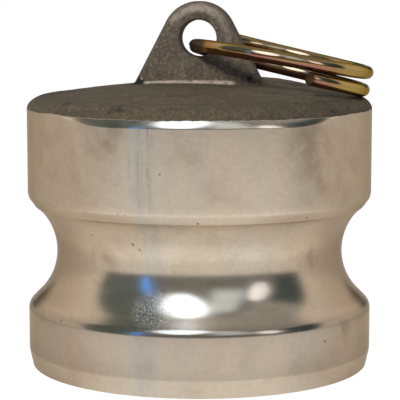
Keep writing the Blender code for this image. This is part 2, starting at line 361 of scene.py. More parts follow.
# The concave fillet between ear and crown: one outline, drawn up in steps that follow the crown.
def addEarFoot():
    bm = bmesh.new()
    half = earHalfWidth(crownTop)
    for _ in range(4):
        half = earHalfWidth(crownHeight(half))
    outer = ear["edgeRound"] + ear["footFillet"]
    innerX = half - ear["edgeRound"]
    innerY = ear["thickness"] / 2 - ear["edgeRound"]
    bmesh.ops.create_grid(bm, x_segments=1, y_segments=1, size=1)
    bmesh.ops.scale(bm, verts=bm.verts, vec=(innerX + outer, innerY + outer, 1))
    # a shade less than the corner's full radius, so that the ends don't meet
    bmesh.ops.bevel(bm, geom=bm.verts[:], offset=outer * 0.999, affect="VERTICES", segments=10,
                    profile=0.5, material=-1)
    bmesh.ops.delete(bm, geom=bm.faces[:], context="FACES_ONLY")
    bmesh.ops.subdivide_edges(bm, edges=[e for e in bm.edges if e.calc_length() > 4 * mm], cuts=23)

    def place(vert, start, grow, lift):
        corner = Vector((max(-innerX, min(innerX, start.x)), max(-innerY, min(innerY, start.y)), 0))
        out = (start - corner).normalized() * (ear["edgeRound"] + grow)
        if start.x < 0:
            low = ease(0.9 * mm - lift, 0.0, 1.2 * mm)
            out.x -= ear["footLean"] * ease(-corner.x, innerX * 0.6, innerX) * low
        slope = math.tan(math.radians(ear["flankAngle"]))
        x = corner.x * (innerX - max(lift, 0.0) * slope) / innerX + out.x
        y = corner.y + out.y
        vert.co = (x, y, crownHeight(math.hypot(x, y)) + crownLean(x, y) + lift)

    levels = footLevels()
    starts = {v: v.co.copy() for v in bm.verts}
    edges = bm.edges[:]
    for vert, start in starts.items():
        place(vert, start, *levels[0])
    for grow, lift in levels[1:]:
        made = bmesh.ops.extrude_edge_only(bm, edges=edges)["geom"]
        ups = {g for g in made if isinstance(g, bmesh.types.BMVert)}
        edges = [g for g in made if isinstance(g, bmesh.types.BMEdge) and set(g.verts) <= ups]
        starts = {v: next(starts[e.other_vert(v)] for e in v.link_edges if e.other_vert(v) in starts)
                  for v in ups}
        for vert, start in starts.items():
            place(vert, start, grow, lift)
    bmesh.ops.holes_fill(bm, edges=bm.edges[:], sides=0)
    bmesh.ops.triangulate(bm, faces=[f for f in bm.faces if len(f.verts) > 4])
    return makeObject(bm, "earFoot")


def addHoleCutter():
    bm = bmesh.new()
    face = ear["thickness"] / 2
    edge = ear["holeEdge"]
    v = bmesh.ops.create_vert(bm, co=(0, 0, face + 2 * edge))["vert"][0]
    # beyond the hole's wall and above the ear's face, in widths of the rounded edge
    for beyond, above in ((2, 2), (1.4, 0.1), (0.5, -0.5), (0.1, -1.2), (0, -2)):
        v = lineTo(bm, v, ear["holeRadius"] + beyond * edge, face + above * edge)
    lineTo(bm, v, ear["holeRadius"], 0)
    bmesh.ops.mirror(bm, geom=bm.verts[:] + bm.edges[:], axis="Z", merge_dist=fineWeld)
    revolve(bm, (0, 0, 1), 96)
    bmesh.ops.rotate(bm, verts=bm.verts, cent=(0, 0, 0), matrix=Matrix.Rotation(math.pi / 2, 3, "X"))
    bmesh.ops.translate(bm, verts=bm.verts, vec=(0, 0, holeHeight))
    return makeObject(bm, "holeCutter")


plugCasting = addCasting()
applyBoolean(plugCasting, addEarFoot(), "UNION")
applyBoolean(plugCasting, addEarPlate(), "UNION")
applyBoolean(plugCasting, addHoleCutter(), "DIFFERENCE")
smooth(plugCasting)
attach(plugCasting, "plug")
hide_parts("plug_body")
print("stage: casting made,", len(plugCasting.data.polygons), "faces")


# The split ring

ring = {
    "wireRadius": 1.2 * mm,
    "wireSides": 32,
    "centreRadius": 15.7 * mm,
    "pitch": 3.2 * mm,
    "closing": 0.65 * mm,         # how far the lower end springs back towards the turn above
    "lowerEnd": -66.0,
    "upperEnd": 490.0,
    "roll": -3.35,
    "tilt": 11.30,
    "pivot": (-0.69732 * mm, 0, 58.00459 * mm),
    "endRound": 0.16 * mm,
    "endSlant": 0.30,             # how obliquely the lower end is cut
    "slantReach": 3 * mm,
    "stepDegrees": 2.5,
}


def ringRise(degrees):
    rise = ring["pitch"] * (degrees - 180) / 360
    if degrees < 0:
        rise += ring["closing"] * (degrees / ring["lowerEnd"]) ** 1.5
    return rise


def ringTurn(size):
    tilt = Matrix.Rotation(math.radians(ring["tilt"]), size, "Y")
    return tilt @ Matrix.Rotation(math.radians(ring["roll"]), size, "X")


def addRing():
    bm = bmesh.new()
    centre = ring["centreRadius"]
    low, high = ring["lowerEnd"], ring["upperEnd"]
    count = math.ceil((high - low) / ring["stepDegrees"])
    upright = Matrix.Rotation(math.pi / 2, 4, "X")
    place = Matrix.Translation((centre, 0, 0)) @ Matrix.Rotation(math.radians(low), 4, "Z")
    place = place @ Matrix.Translation((centre, 0, ringRise(low))) @ upright
    bmesh.ops.create_circle(bm, cap_ends=False, radius=ring["wireRadius"], segments=ring["wireSides"],
                            matrix=place)
    section = bm.edges[:]
    for i in range(count):
        a = low + (high - low) * i / count
        b = low + (high - low) * (i + 1) / count
        made = bmesh.ops.spin(bm, geom=section, cent=(centre, 0, 0), axis=(0, 0, 1),
                              dvec=(0, 0, ringRise(b) - ringRise(a)), angle=math.radians(b - a),
                              steps=1, use_duplicate=False)["geom_last"]
        section = [g for g in made if isinstance(g, bmesh.types.BMEdge)]
    bmesh.ops.remove_doubles(bm, verts=bm.verts, dist=fineWeld)
    bmesh.ops.holes_fill(bm, edges=bm.edges[:], sides=0)
    bmesh.ops.recalc_face_normals(bm, faces=bm.faces)
    caps = [f for f in bm.faces if len(f.verts) > 8]
    rims = list({e for f in caps for e in f.edges})
    mark = bm.verts.layers.float.new("cutFace")
    for face in caps:
        for vert in face.verts:
            vert[mark] = 1.0
    bmesh.ops.bevel(bm, geom=rims, offset=ring["endRound"], affect="EDGES", segments=3, profile=0.5,
                    material=-1)
    # cuts the lower end obliquely
    start = math.radians(low)
    forward = Vector((-math.sin(start), math.cos(start), 0))
    for vert in bm.verts:
        arm = Vector((vert.co.x - centre, vert.co.y, 0))
        along = (math.atan2(arm.y, arm.x) - start) * centre
        if vert.co.z < 0 and along < ring["slantReach"] and arm.y < 0:
            share = ring["endSlant"] * min(1.0, 1 - along / ring["slantReach"])
            vert.co += forward * (arm.length - centre) * share
    bmesh.ops.transform(bm, matrix=Matrix.Translation(ring["pivot"]) @ ringTurn(4), verts=bm.verts)
    return makeObject(bm, "wireRing", 50)


wireRing = addRing()
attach(wireRing, "ring")
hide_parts("split_ring")
print("stage: ring made,", len(wireRing.data.polygons), "faces")


# Material helpers

def newMaterial(name):
    material = bpy.data.materials.new(name)
    material.use_nodes = True
    return material, material.node_tree, material.node_tree.nodes["Principled BSDF"]


def addNode(tree, kind, inputs=(), **settings):
    made = tree.nodes.new("ShaderNode" + kind)
    for key, value in settings.items():
        setattr(made, key, value)
    for key, value in dict(inputs).items():
        if isinstance(value, bpy.types.NodeSocket):
            tree.links.new(value, made.inputs[key])
        else:
            made.inputs[key].default_value = value
    return made


def calc(tree, operation, *values):
    return addNode(tree, "Math", dict(enumerate(values)), operation=operation).outputs[0]


def times(tree, a, b):
    return calc(tree, "MULTIPLY", a, b)


def plus(tree, a, b):
    return calc(tree, "ADD", a, b)


def minus(tree, a, b):
    return calc(tree, "SUBTRACT", a, b)


def most(tree, a, b):
    return calc(tree, "MAXIMUM", a, b)


def absolute(tree, value):
    return calc(tree, "ABSOLUTE", value)


def fade(tree, value, low, high, toLow=0.0, toHigh=1.0):
    ends = {"Value": value, "From Min": low, "From Max": high, "To Min": toLow, "To Max": toHigh}
    return addNode(tree, "MapRange", ends, interpolation_type="SMOOTHSTEP").outputs[0]


# 1 from lowIn to highIn, fading to 0 at lowOut and highOut.
def between(tree, value, lowOut, lowIn, highIn, highOut):
    return times(tree, fade(tree, value, lowOut, lowIn), fade(tree, value, highOut, highIn))


# 1 near a bearing in degrees, fading to 0 at outer degrees away from it.
def nearBearing(tree, turned, degrees, inner, outer):
    return fade(tree, absolute(tree, plus(tree, turned, -degrees)), outer, inner)


# 1 near a point, fading to 0 outside the radius.
def nearPoint(tree, source, point, radius, soft=0.5):
    return fade(tree, pair(tree, "DISTANCE", source, point), radius * (1 + soft), radius * (1 - soft))


# A number from two vectors.
def pair(tree, operation, a, b):
    return addNode(tree, "VectorMath", {0: a, 1: b}, operation=operation).outputs["Value"]


def blendColours(tree, factor, a, b, mode="MIX"):
    return addNode(tree, "Mix", {0: factor, 6: a, 7: b}, data_type="RGBA", blend_type=mode).outputs[2]


def blendValues(tree, factor, a, b):
    return addNode(tree, "Mix", {0: factor, 2: a, 3: b}, data_type="FLOAT").outputs[0]


# Noise over coordinates in metres. scale is per metre, one number or one for each axis.
def grain(tree, source, scale, detail=3.0, roughness=0.55, distortion=0.0):
    scales = (scale,) * 3 if isinstance(scale, (int, float)) else scale
    mapped = addNode(tree, "Mapping", {"Vector": source, "Scale": scales}).outputs[0]
    values = {"Vector": mapped, "Scale": 1.0, "Detail": detail, "Roughness": roughness,
              "Distortion": distortion}
    return addNode(tree, "TexNoise", values).outputs["Fac"]


def setBump(tree, shader, height):
    bump = addNode(tree, "Bump", {"Height": height, "Strength": 1.0, "Distance": 1.0 * mm})
    tree.links.new(bump.outputs[0], shader.inputs["Normal"])


# Aluminium, turned and as cast

aluminium = {
    "turnedColour": (0.72, 0.60, 0.46, 1),
    # stain colour, also laid on the groove's sides as painted shade
    "turnedStainAndShade": (0.33, 0.235, 0.15, 1),
    "turnedCool": (0.56, 0.54, 0.49, 1),
    "chamferShadeColour": (0.65, 0.53, 0.40, 1),     # the chamfer under the upper band, darker as painted shade
    "steepLightColour": (0.80, 0.68, 0.53, 1),       # the steep flank under the upper band, lighter as painted light
    "lowBandShade": (0.755, 0.755, 0.77, 1),     # multiplies the colour of the lower band, darker as painted shade
    "scoreColour": (0.22, 0.19, 0.15, 1),
    "speckColour": (0.20, 0.16, 0.11, 1),
    "pitColour": (0.09, 0.065, 0.045, 1),
    "turnedRoughness": 0.17,
    # heights at which a zone begins, is full, begins to end and has ended
    "chamferZone": (29.2 * mm, 29.6 * mm, 30.4 * mm, 31.4 * mm),
    "steepZone": (22.5 * mm, 27.0 * mm, 28.5 * mm, 29.9 * mm),
    "lowBandZone": (2.9 * mm, 3.4 * mm, 11.4 * mm, 12.6 * mm),
    # bearings in degrees: middle, half width when full and half width at the end
    "coolBand": (-17.5, 1.5, 6.5),
    "scoreBand": (-18.5, 2.0, 5.0),
    "crownColour": (0.112, 0.088, 0.050, 1),
    "earColour": (0.116, 0.094, 0.066, 1),
    "darkGrain": (0.050, 0.042, 0.032, 1),
    "lightGrain": (0.25, 0.205, 0.150, 1),
    "scratchColour": (0.022, 0.019, 0.015, 1),
    "earPitShadeColour": (0.008, 0.008, 0.008, 1),
    # colour of the painted highlights on the ear: its top arc, its foot line and a facet
    "castHighlightColour": (0.42, 0.35, 0.28, 1),
    "highlightArcRadius": 5.45 * mm,                       # radius round the hole of the painted highlight arc
    "castRoughness": 0.58,
    "castSpecular": 0.25,
    "castTint": (0.66, 0.62, 0.56, 1),
    # where turning stopped: how far below the band's top, and how wavy and how ragged the border is
    "borderDrop": 0.42 * mm,
    "borderWave": 0.7 * mm,
    "borderRagged": 0.45 * mm,
    "borderFrontDrop": 0.24 * mm,
    # specks, as degrees round from the front, height and radius
    "pits": [(-50, 11.2 * mm, 0.32 * mm), (-24.6, 25.3 * mm, 0.26 * mm), (-22.3, 24.4 * mm, 0.20 * mm),
             (-23.5, 30.8 * mm, 0.20 * mm), (27.7, 30.9 * mm, 0.20 * mm), (31.7, 30.0 * mm, 0.18 * mm),
             (43.3, 8.2 * mm, 0.22 * mm), (-12.0, 38.0 * mm, 0.16 * mm), (-26.0, 30.9 * mm, 0.24 * mm),
             (-10.0, 30.5 * mm, 0.18 * mm), (-0.5, 29.6 * mm, 0.20 * mm), (36.4, 29.8 * mm, 0.20 * mm),
             (-42.0, 26.3 * mm, 0.18 * mm)],
    # brownish stains, as degrees round, height and radius
    "stains": [(36, 41.5 * mm, 4.5 * mm), (44, 36.5 * mm, 3.0 * mm), (50, 8.5 * mm, 3.2 * mm),
               (-40, 21.0 * mm, 3.0 * mm), (50, 22.0 * mm, 2.2 * mm), (-28, 44.0 * mm, 2.5 * mm)],
    # a patch of fine pitting in the groove, as degrees round, height and radius
    "pittedPatch": (-17.0, 14.4 * mm, 3.2 * mm),
    # pits in the ear's foot, painted near black as shade in recesses the mesh lacks; the one on the right is
    # painted shadow of the ring
    "earPits": [((-11.0 * mm, -2.5 * mm, 51.5 * mm), 1.15 * mm),
                ((-12.0 * mm, -2.3 * mm, 51.1 * mm), 0.7 * mm),
                ((9.4 * mm, -2.3 * mm, 52.3 * mm), 0.45 * mm),
                ((-1.4 * mm, -2.6 * mm, 51.9 * mm), 0.35 * mm)],
    "earFacetHighlight": (-10.35 * mm, -2.35 * mm, 52.2 * mm),     # a painted highlight on a small facet beside the left pit
}


# The turned body's radius at a height, near enough to place a mark.
def bodyRadius(z):
    away = z - casting["grooveHeight"]
    if abs(away) > 9.6 * mm:
        return casting["bandRadius"]
    inner = casting["bandRadius"] - casting["grooveDepth"] + casting["grooveRadius"]
    return min(casting["bandRadius"], inner - math.sqrt(casting["grooveRadius"] ** 2 - away ** 2))


# A point on the turned body, so many degrees to the right of the photographed front.
def onBody(degrees, z):
    a = math.radians(degrees) + frontTurn
    return (bodyRadius(z) * math.sin(a), -bodyRadius(z) * math.cos(a), z)


# Where the metal is as cast: above the border on the top edge, and in the hollow.
def castShare(tree, source, z, radius, turned, ragged):
    wave = grain(tree, source, (90, 90, 30), 2.0)
    level = casting["bandTop"] - aluminium["borderDrop"]
    border = plus(tree, level, times(tree, wave, aluminium["borderWave"]))
    border = plus(tree, border, times(tree, ragged, aluminium["borderRagged"]))
    front = fade(tree, absolute(tree, turned), 58, 34, 0.0, aluminium["borderFrontDrop"])
    castTop = fade(tree, minus(tree, z, minus(tree, border, front)), -0.05 * mm, 0.07 * mm)
    inner = fade(tree, radius, 23.7 * mm, 23.4 * mm)
    deep = fade(tree, z, 0.6 * mm, 1.2 * mm)
    return most(tree, castTop, times(tree, inner, deep))


# Turned metal: cool and warm streaks down the body, stains, specks and fine turning marks; painted shade on
# the chamfer, the groove's sides and the lower band, painted light on the steep flank.
def turnedLooks(tree, source, z, turned, ragged, crisp):
    streak = grain(tree, source, (110, 110, 5), 3.0, 0.5)
    thinStreak = grain(tree, source, (800, 800, 25), 2.0, 0.5)
    cloud = grain(tree, source, 130, 5.0, 0.55, 0.2)
    speck = grain(tree, source, 1100, 1.0)
    chamfer = between(tree, z, *aluminium["chamferZone"])
    steep = between(tree, z, *aluminium["steepZone"])
    lowBand = between(tree, z, *aluminium["lowBandZone"])
    # painted shade: the chamfer under the upper band is given a darker colour
    colour = blendColours(tree, chamfer, aluminium["turnedColour"], aluminium["chamferShadeColour"])
    # painted light: the steep flank under the chamfer is given a lighter colour
    colour = blendColours(tree, steep, colour, aluminium["steepLightColour"])

    coolBand = nearBearing(tree, turned, *aluminium["coolBand"])
    coolBand = times(tree, coolBand, fade(tree, thinStreak, 0.25, 0.6, 0.35, 1.0))
    cool = most(tree, fade(tree, streak, 0.47, 0.70, 0.0, 0.30), times(tree, coolBand, 0.55))
    colour = blendColours(tree, cool, colour, aluminium["turnedCool"])
    lines = fade(tree, grain(tree, source, (2300, 2300, 70), 3.0, 0.6), 0.50, 0.68, 0.0, 0.75)
    scored = times(tree, lines, nearBearing(tree, turned, *aluminium["scoreBand"]))
    patches = times(tree, fade(tree, z, 30 * mm, 34 * mm), fade(tree, ragged, 0.35, 0.6, 0.1, 0.6))
    colour = blendColours(tree, times(tree, scored, patches), colour, aluminium["scoreColour"])

    stainsAndShade = fade(tree, cloud, 0.48, 0.74, 0.0, 0.22)
    patchy = fade(tree, cloud, 0.34, 0.60)
    for degrees, height, size in aluminium["stains"]:
        spot = nearPoint(tree, source, onBody(degrees, height), size, 0.7)
        stainsAndShade = most(tree, stainsAndShade, times(tree, times(tree, spot, patchy), 0.68))
    # painted shade: the groove darkens towards the sides, mixed in with the stains
    fromGroove = absolute(tree, minus(tree, z, casting["grooveHeight"]))
    grooveSideShade = times(tree, fade(tree, fromGroove, 10.0 * mm, 7.5 * mm),
                       fade(tree, absolute(tree, turned), 38, 60, 0.0, 0.36))
    stainsAndShade = most(tree, stainsAndShade, grooveSideShade)
    colour = blendColours(tree, stainsAndShade, colour, aluminium["turnedStainAndShade"])
    # painted shade: the lower band darkened
    colour = blendColours(tree, lowBand, colour, aluminium["lowBandShade"], "MULTIPLY")
    colour = blendColours(tree, fade(tree, speck, 0.30, 0.70, 0.07, 0.0), colour, aluminium["speckColour"])

    mapped = addNode(tree, "Mapping", {"Vector": source, "Scale": (300, 300, 300)}).outputs[0]
    cells = addNode(tree, "TexVoronoi", {"Vector": mapped, "Scale": 1.0, "Randomness": 1.0}).outputs
    chance = fade(tree, addNode(tree, "SeparateColor", {0: cells["Color"]}).outputs[0], 0.74, 0.86)
    pit = times(tree, fade(tree, cells["Distance"], 0.060, 0.03), chance)
    for degrees, height, size in aluminium["pits"]:
        pit = most(tree, pit, nearPoint(tree, source, onBody(degrees, height), size, 0.6))
    pit = times(tree, pit, fade(tree, ragged, 0.30, 0.55, 0.4, 1.0))
    colour = blendColours(tree, times(tree, pit, 0.7), colour, aluminium["pitColour"])

    turnMarks = grain(tree, source, (12, 12, 9000), 2.0, 0.7)
    rough = plus(tree, aluminium["turnedRoughness"] - 0.05, times(tree, turnMarks, 0.06))
    rough = plus(tree, rough, times(tree, cloud, 0.08))
    rough = plus(tree, rough, times(tree, steep, 0.40))
    height = plus(tree, times(tree, turnMarks, 0.0012), times(tree, pit, -0.03))
    height = plus(tree, height, times(tree, thinStreak, 0.002))
    degrees, level, size = aluminium["pittedPatch"]
    patch = nearPoint(tree, source, onBody(degrees, level), size, 0.6)
    pitted = times(tree, patch, fade(tree, crisp, 0.52, 0.66))
    return colour, rough, plus(tree, height, times(tree, pitted, 0.014))


# Metal as cast: grain, dark scratches on the crown, a painted highlight arc on the ear, a painted highlight
# line along its foot, painted shade in its pits.
def castLooks(tree, source, x, y, z, radius, crisp):
    fine = grain(tree, source, (2100, 700, 2100), 3.0, 0.75)
    coarse = grain(tree, source, 320, 4.0, 0.6)
    onEar = fade(tree, z, crownTop - 0.3 * mm, crownTop + 0.8 * mm)
    colour = blendColours(tree, onEar, aluminium["crownColour"], aluminium["earColour"])
    colour = blendColours(tree, fade(tree, coarse, 0.35, 0.70, 0.38, 0.0), colour, aluminium["darkGrain"])
    darker = times(tree, fade(tree, fine, 0.52, 0.36), blendValues(tree, onEar, 0.70, 0.75))
    colour = blendColours(tree, darker, colour, aluminium["darkGrain"])
    lighter = fade(tree, plus(tree, fine, times(tree, crisp, 0.5)), 0.80, 0.95)
    lighter = times(tree, lighter, blendValues(tree, onEar, 0.55, 0.60))
    colour = blendColours(tree, lighter, colour, aluminium["lightGrain"])
    scratch = fade(tree, grain(tree, source, (45, 420, 420), 3.0, 0.6, 0.8), 0.60, 0.67)
    scratch = times(tree, scratch, minus(tree, 1.0, onEar))
    colour = blendColours(tree, times(tree, scratch, 0.75), colour, aluminium["scratchColour"])

    rise = minus(tree, z, holeHeight)
    fromHole = calc(tree, "SQRT", plus(tree, times(tree, x, x), times(tree, rise, rise)))
    # painted highlight: an arc round the ear's top, weaker to the right
    arc = fade(tree, absolute(tree, minus(tree, fromHole, aluminium["highlightArcRadius"])), 1.1 * mm, 0.1 * mm)
    arc = times(tree, arc, fade(tree, x, 5.5 * mm, 1.5 * mm, 0.35, 1.0))
    arc = times(tree, arc, fade(tree, plus(tree, rise, times(tree, x, 0.35)), 0.0, 2.5 * mm))
    crownCurve = times(tree, times(tree, radius, radius), casting["crownRise"] / crownEdge ** 2)
    overCrown = plus(tree, minus(tree, z, crownTop), crownCurve)
    # painted highlight: a line along the ear's foot, left off on the right where the shadow falls
    foot = fade(tree, absolute(tree, minus(tree, overCrown, -0.05 * mm)), 0.50 * mm, 0.15 * mm)
    foot = times(tree, foot, between(tree, absolute(tree, y), 2.0 * mm, 2.2 * mm, 2.75 * mm, 3.0 * mm))
    foot = times(tree, foot, between(tree, x, -10.4 * mm, -9.6 * mm, 5.8 * mm, 7.2 * mm))
    broken = fade(tree, grain(tree, source, 1200, 3.0, 0.6), 0.36, 0.60, 0.45, 1.0)
    paintedHighlight = times(tree, most(tree, times(tree, arc, 0.62), times(tree, foot, 0.85)), broken)
    colour = blendColours(tree, paintedHighlight, colour, aluminium["castHighlightColour"])
    edge = fade(tree, radius, 26.6 * mm, 29.5 * mm, 0.0, 0.32)
    colour = blendColours(tree, edge, colour, aluminium["darkGrain"])
    # painted shade and shadow: near black in the ear's pits
    hollow = 0.0
    for point, size in aluminium["earPits"]:
        hollow = most(tree, hollow, nearPoint(tree, source, point, size, 0.5))
    colour = blendColours(tree, times(tree, hollow, 0.9), colour, aluminium["earPitShadeColour"])
    # painted highlight on a small facet beside the left pit
    facetHighlight = nearPoint(tree, source, aluminium["earFacetHighlight"], 0.22 * mm, 0.6)
    colour = blendColours(tree, times(tree, facetHighlight, 0.8), colour, aluminium["castHighlightColour"])

    rough = plus(tree, aluminium["castRoughness"] - 0.08, times(tree, fine, 0.16))
    height = plus(tree, times(tree, fine, 0.09), times(tree, coarse, 0.12))
    height = plus(tree, height, times(tree, crisp, 0.03))
    return colour, rough, plus(tree, height, times(tree, scratch, -0.04))


def aluminiumMaterial():
    material, tree, shader = newMaterial("agedAluminium")
    source = addNode(tree, "TexCoord").outputs["Object"]
    x, y, z = addNode(tree, "SeparateXYZ", {0: source}).outputs
    cosine, sine = math.cos(frontTurn), math.sin(frontTurn)
    radius = calc(tree, "SQRT", plus(tree, times(tree, x, x), times(tree, y, y)))
    right = plus(tree, times(tree, x, cosine), times(tree, y, sine))
    fore = minus(tree, times(tree, x, sine), times(tree, y, cosine))
    turned = times(tree, calc(tree, "ARCTAN2", right, fore), 180 / math.pi)
    ragged = grain(tree, source, 900, 3.0)
    crisp = grain(tree, source, 4200, 2.0, 0.7)
    cast = castShare(tree, source, z, radius, turned, ragged)
    turnedColour, turnedRough, turnedHeight = turnedLooks(tree, source, z, turned, ragged, crisp)
    castColour, castRough, castHeight = castLooks(tree, source, x, y, z, radius, crisp)
    tree.links.new(blendColours(tree, cast, turnedColour, castColour), shader.inputs["Base Color"])
    tree.links.new(blendValues(tree, cast, turnedRough, castRough), shader.inputs["Roughness"])
    tree.links.new(minus(tree, 1.0, cast), shader.inputs["Metallic"])
    shader.inputs["Specular IOR Level"].default_value = aluminium["castSpecular"]
    shader.inputs["Specular Tint"].default_value = aluminium["castTint"]
    height = blendValues(tree, cast, turnedHeight, castHeight)
    setBump(tree, shader, plus(tree, height, times(tree, cast, 0.05)))
    return material


plugCasting.data.materials.clear()
plugCasting.data.materials.append(aluminiumMaterial())


# Yellow zinc on steel wire

zinc = {
    "gold": (0.46, 0.288, 0.088, 1),
    "olive": (0.27, 0.195, 0.065, 1),
    "straw": (0.62, 0.47, 0.17, 1),       # the far end of the coils, paler
    "peach": (0.62, 0.44, 0.29, 1),
    "orange": (0.42, 0.20, 0.06, 1),
    "rose": (0.42, 0.18, 0.14, 1),
    "violet": (0.30, 0.16, 0.11, 1),
    "specks": (0.20, 0.13, 0.05, 1),
    "cutFace": (0.15, 0.08, 0.035, 1),
    # for the painted shade on the wire inside the ear's hole: near black and dull
    "holeShadeColour": (0.008, 0.008, 0.004, 1),
    "holeShadeSpecular": 0.08,
    "holeShadeTint": (0.45, 0.38, 0.22, 1),
    "roughness": 0.11,
    "coat": 0.12,
    "coatRoughness": 0.06,
}


def zincMaterial():
    material, tree, shader = newMaterial("yellowZinc")
    coords = addNode(tree, "TexCoord").outputs
    source = coords["Object"]
    turn = ringTurn(3)
    fromPivot = addNode(tree, "VectorMath", {0: source, 1: ring["pivot"]}, operation="SUBTRACT").outputs[0]
    upness = pair(tree, "DOT_PRODUCT", coords["Normal"], turn @ Vector((0, 0, 1)))
    along = pair(tree, "DOT_PRODUCT", fromPivot, turn @ Vector((1, 0, 0)))
    patches = grain(tree, source, 150, 3.0, 0.55, 0.4)
    fine = grain(tree, source, 1700, 3.0)
    wear = grain(tree, source, 420, 4.0, 0.65)
    # gold and olive mixed at random and by facing: the olive on the tops is painted shade
    drift = plus(tree, upness, times(tree, minus(tree, patches, 0.5), 1.1))
    colour = blendColours(tree, fade(tree, drift, -0.30, 0.55), zinc["gold"], zinc["olive"])
    # painted highlight: a pale peach band where the wire faces part way up
    highlightBand = between(tree, upness, 0.10, 0.24, 0.56, 0.74)
    highlightBand = times(tree, highlightBand, fade(tree, along, 30 * mm, 25 * mm, 0.15, 0.85))
    colour = blendColours(tree, highlightBand, colour, zinc["peach"])
    # towards the underside the colour turns rose, then darker violet at the bottom as painted shade
    middle = between(tree, along, 4 * mm, 11 * mm, 23 * mm, 29 * mm)
    under = times(tree, fade(tree, drift, 0.20, -0.40), blendValues(tree, middle, 0.12, 1.0))
    colour = blendColours(tree, under, colour, zinc["rose"])
    low = times(tree, fade(tree, drift, -0.45, -0.95), blendValues(tree, middle, 0.2, 0.8))
    colour = blendColours(tree, low, colour, zinc["violet"])
    colour = blendColours(tree, fade(tree, fine, 0.35, 0.7, 0.14, 0.0), colour, zinc["specks"])
    colour = blendColours(tree, fade(tree, along, 6.5 * mm, 2.5 * mm, 0.0, 0.8), colour, zinc["orange"])
    # painted shade: the wire's end inside the ear's hole, near black, dull and without coat
    holeShade = times(tree, fade(tree, along, 3.7 * mm, 1.9 * mm), fade(tree, patches, 0.28, 0.55, 1.0, 0.9))
    colour = blendColours(tree, holeShade, colour, zinc["holeShadeColour"])
    colour = blendColours(tree, fade(tree, along, 25 * mm, 30 * mm, 0.0, 0.7), colour, zinc["straw"])
    cutFace = addNode(tree, "Attribute", attribute_name="cutFace").outputs["Fac"]
    colour = blendColours(tree, cutFace, colour, zinc["cutFace"])
    tree.links.new(colour, shader.inputs["Base Color"])
    tree.links.new(minus(tree, 1.0, times(tree, holeShade, 0.95)), shader.inputs["Metallic"])
    shader.inputs["Specular IOR Level"].default_value = zinc["holeShadeSpecular"]
    shader.inputs["Specular Tint"].default_value = zinc["holeShadeTint"]
    tree.links.new(times(tree, minus(tree, 1.0, holeShade), zinc["coat"]), shader.inputs["Coat Weight"])
    shader.inputs["Coat Roughness"].default_value = zinc["coatRoughness"]
    rough = plus(tree, zinc["roughness"] - 0.05, times(tree, wear, 0.10))
    rough = plus(tree, rough, times(tree, plus(tree, cutFace, holeShade), 0.3))
    tree.links.new(rough, shader.inputs["Roughness"])
    height = plus(tree, times(tree, fine, 0.004), times(tree, wear, 0.012))
    setBump(tree, shader, plus(tree, height, times(tree, times(tree, cutFace, fine), 0.05)))
    return material


wireRing.data.materials.clear()
wireRing.data.materials.append(zincMaterial())
print("stage: materials made")


# Floor, world, lights and camera

studio = {
    "floorColour": (0.60, 0.60, 0.59, 1),
    "floorMottle": (0.64, 0.64, 0.63, 1),
    "floorRoughness": 0.9,
    "floorSize": 6.0,
    "floorGlow": 1.015,
    "white": (1, 1, 1, 1),
    "cameraWhite": (1.03, 1.03, 1.03, 1), # the floor as the camera sees it
    "ambient": (0.050, 0.053, 0.056, 1),
    "leftHood": (0.15, 0.19, 0.19, 1),    # the dim room before the object, seen only in reflections
    "rightHood": (0.055, 0.085, 0.10, 1),
    "middleHood": (0.24, 0.25, 0.25, 1),
    "highHood": (0.42, 0.42, 0.41, 1),    # high on the right
    "hoodPatches": (0.05, 0.06, 0.06, 1),
    "ceiling": (0.46, 0.455, 0.45, 1),
    "panel": (0.75, 0.88, 1.0, 1),
    "behind": (0.13, 0.13, 0.12, 1),
    "nearFloor": (0.86, 0.86, 0.86, 1),   # the floor in reflections, close to the object's foot, darker as a painted shadow
    "farFloor": (0.81, 0.81, 0.81, 1),    # the floor in reflections beyond the object's own place
    "sideTint": (0.72, 0.66, 0.60, 1),    # how the mirrored room darkens to both sides
    "sideFade": (36, 108),                # degrees from the front where that begins and is full
    "hoodFade": (0.09, 0.27),             # how far forward the dim room begins and is full
    "lightCentre": (0, 0, 0.03),
    "lightDistance": 0.7,
    # direction from the object, width, height, radiance, colour and whether reflections show it
    "lights": {
        "windowLight": ((-0.168, -0.618, 0.766), 0.35, 0.58, 2.9, (0.64, 0.78, 1.0), True),
        "keyLight": ((-0.30, -0.83, 0.465), 0.12, 0.11, 132.0, (1, 0.97, 0.93), False),
        "sideLight": ((0.66, -0.60, 0.40), 0.18, 0.36, 1.55, (0.86, 0.88, 1.0), True),
        "skyLight": ((-0.625, -0.71, 0.27), 0.08, 0.42, 1.7, (0.02, 0.28, 1.0), True),
    },
    "camera": (36.167 * mm, -293.736 * mm, 67.34 * mm),
    "cameraTurn": (82.766, 0, 7),
    "lens": 145.65,
}


# A direction given as seen from the camera, x to its right, turned into the object's frame.
def fromCamera(x, y, z):
    return Matrix.Rotation(frontTurn, 3, "Z") @ Vector((x, y, z))


def whiteRays(tree):
    path = addNode(tree, "LightPath").outputs
    seen = most(tree, path["Is Camera Ray"], path["Is Glossy Ray"])
    return path["Is Camera Ray"], most(tree, seen, path["Is Transmission Ray"])


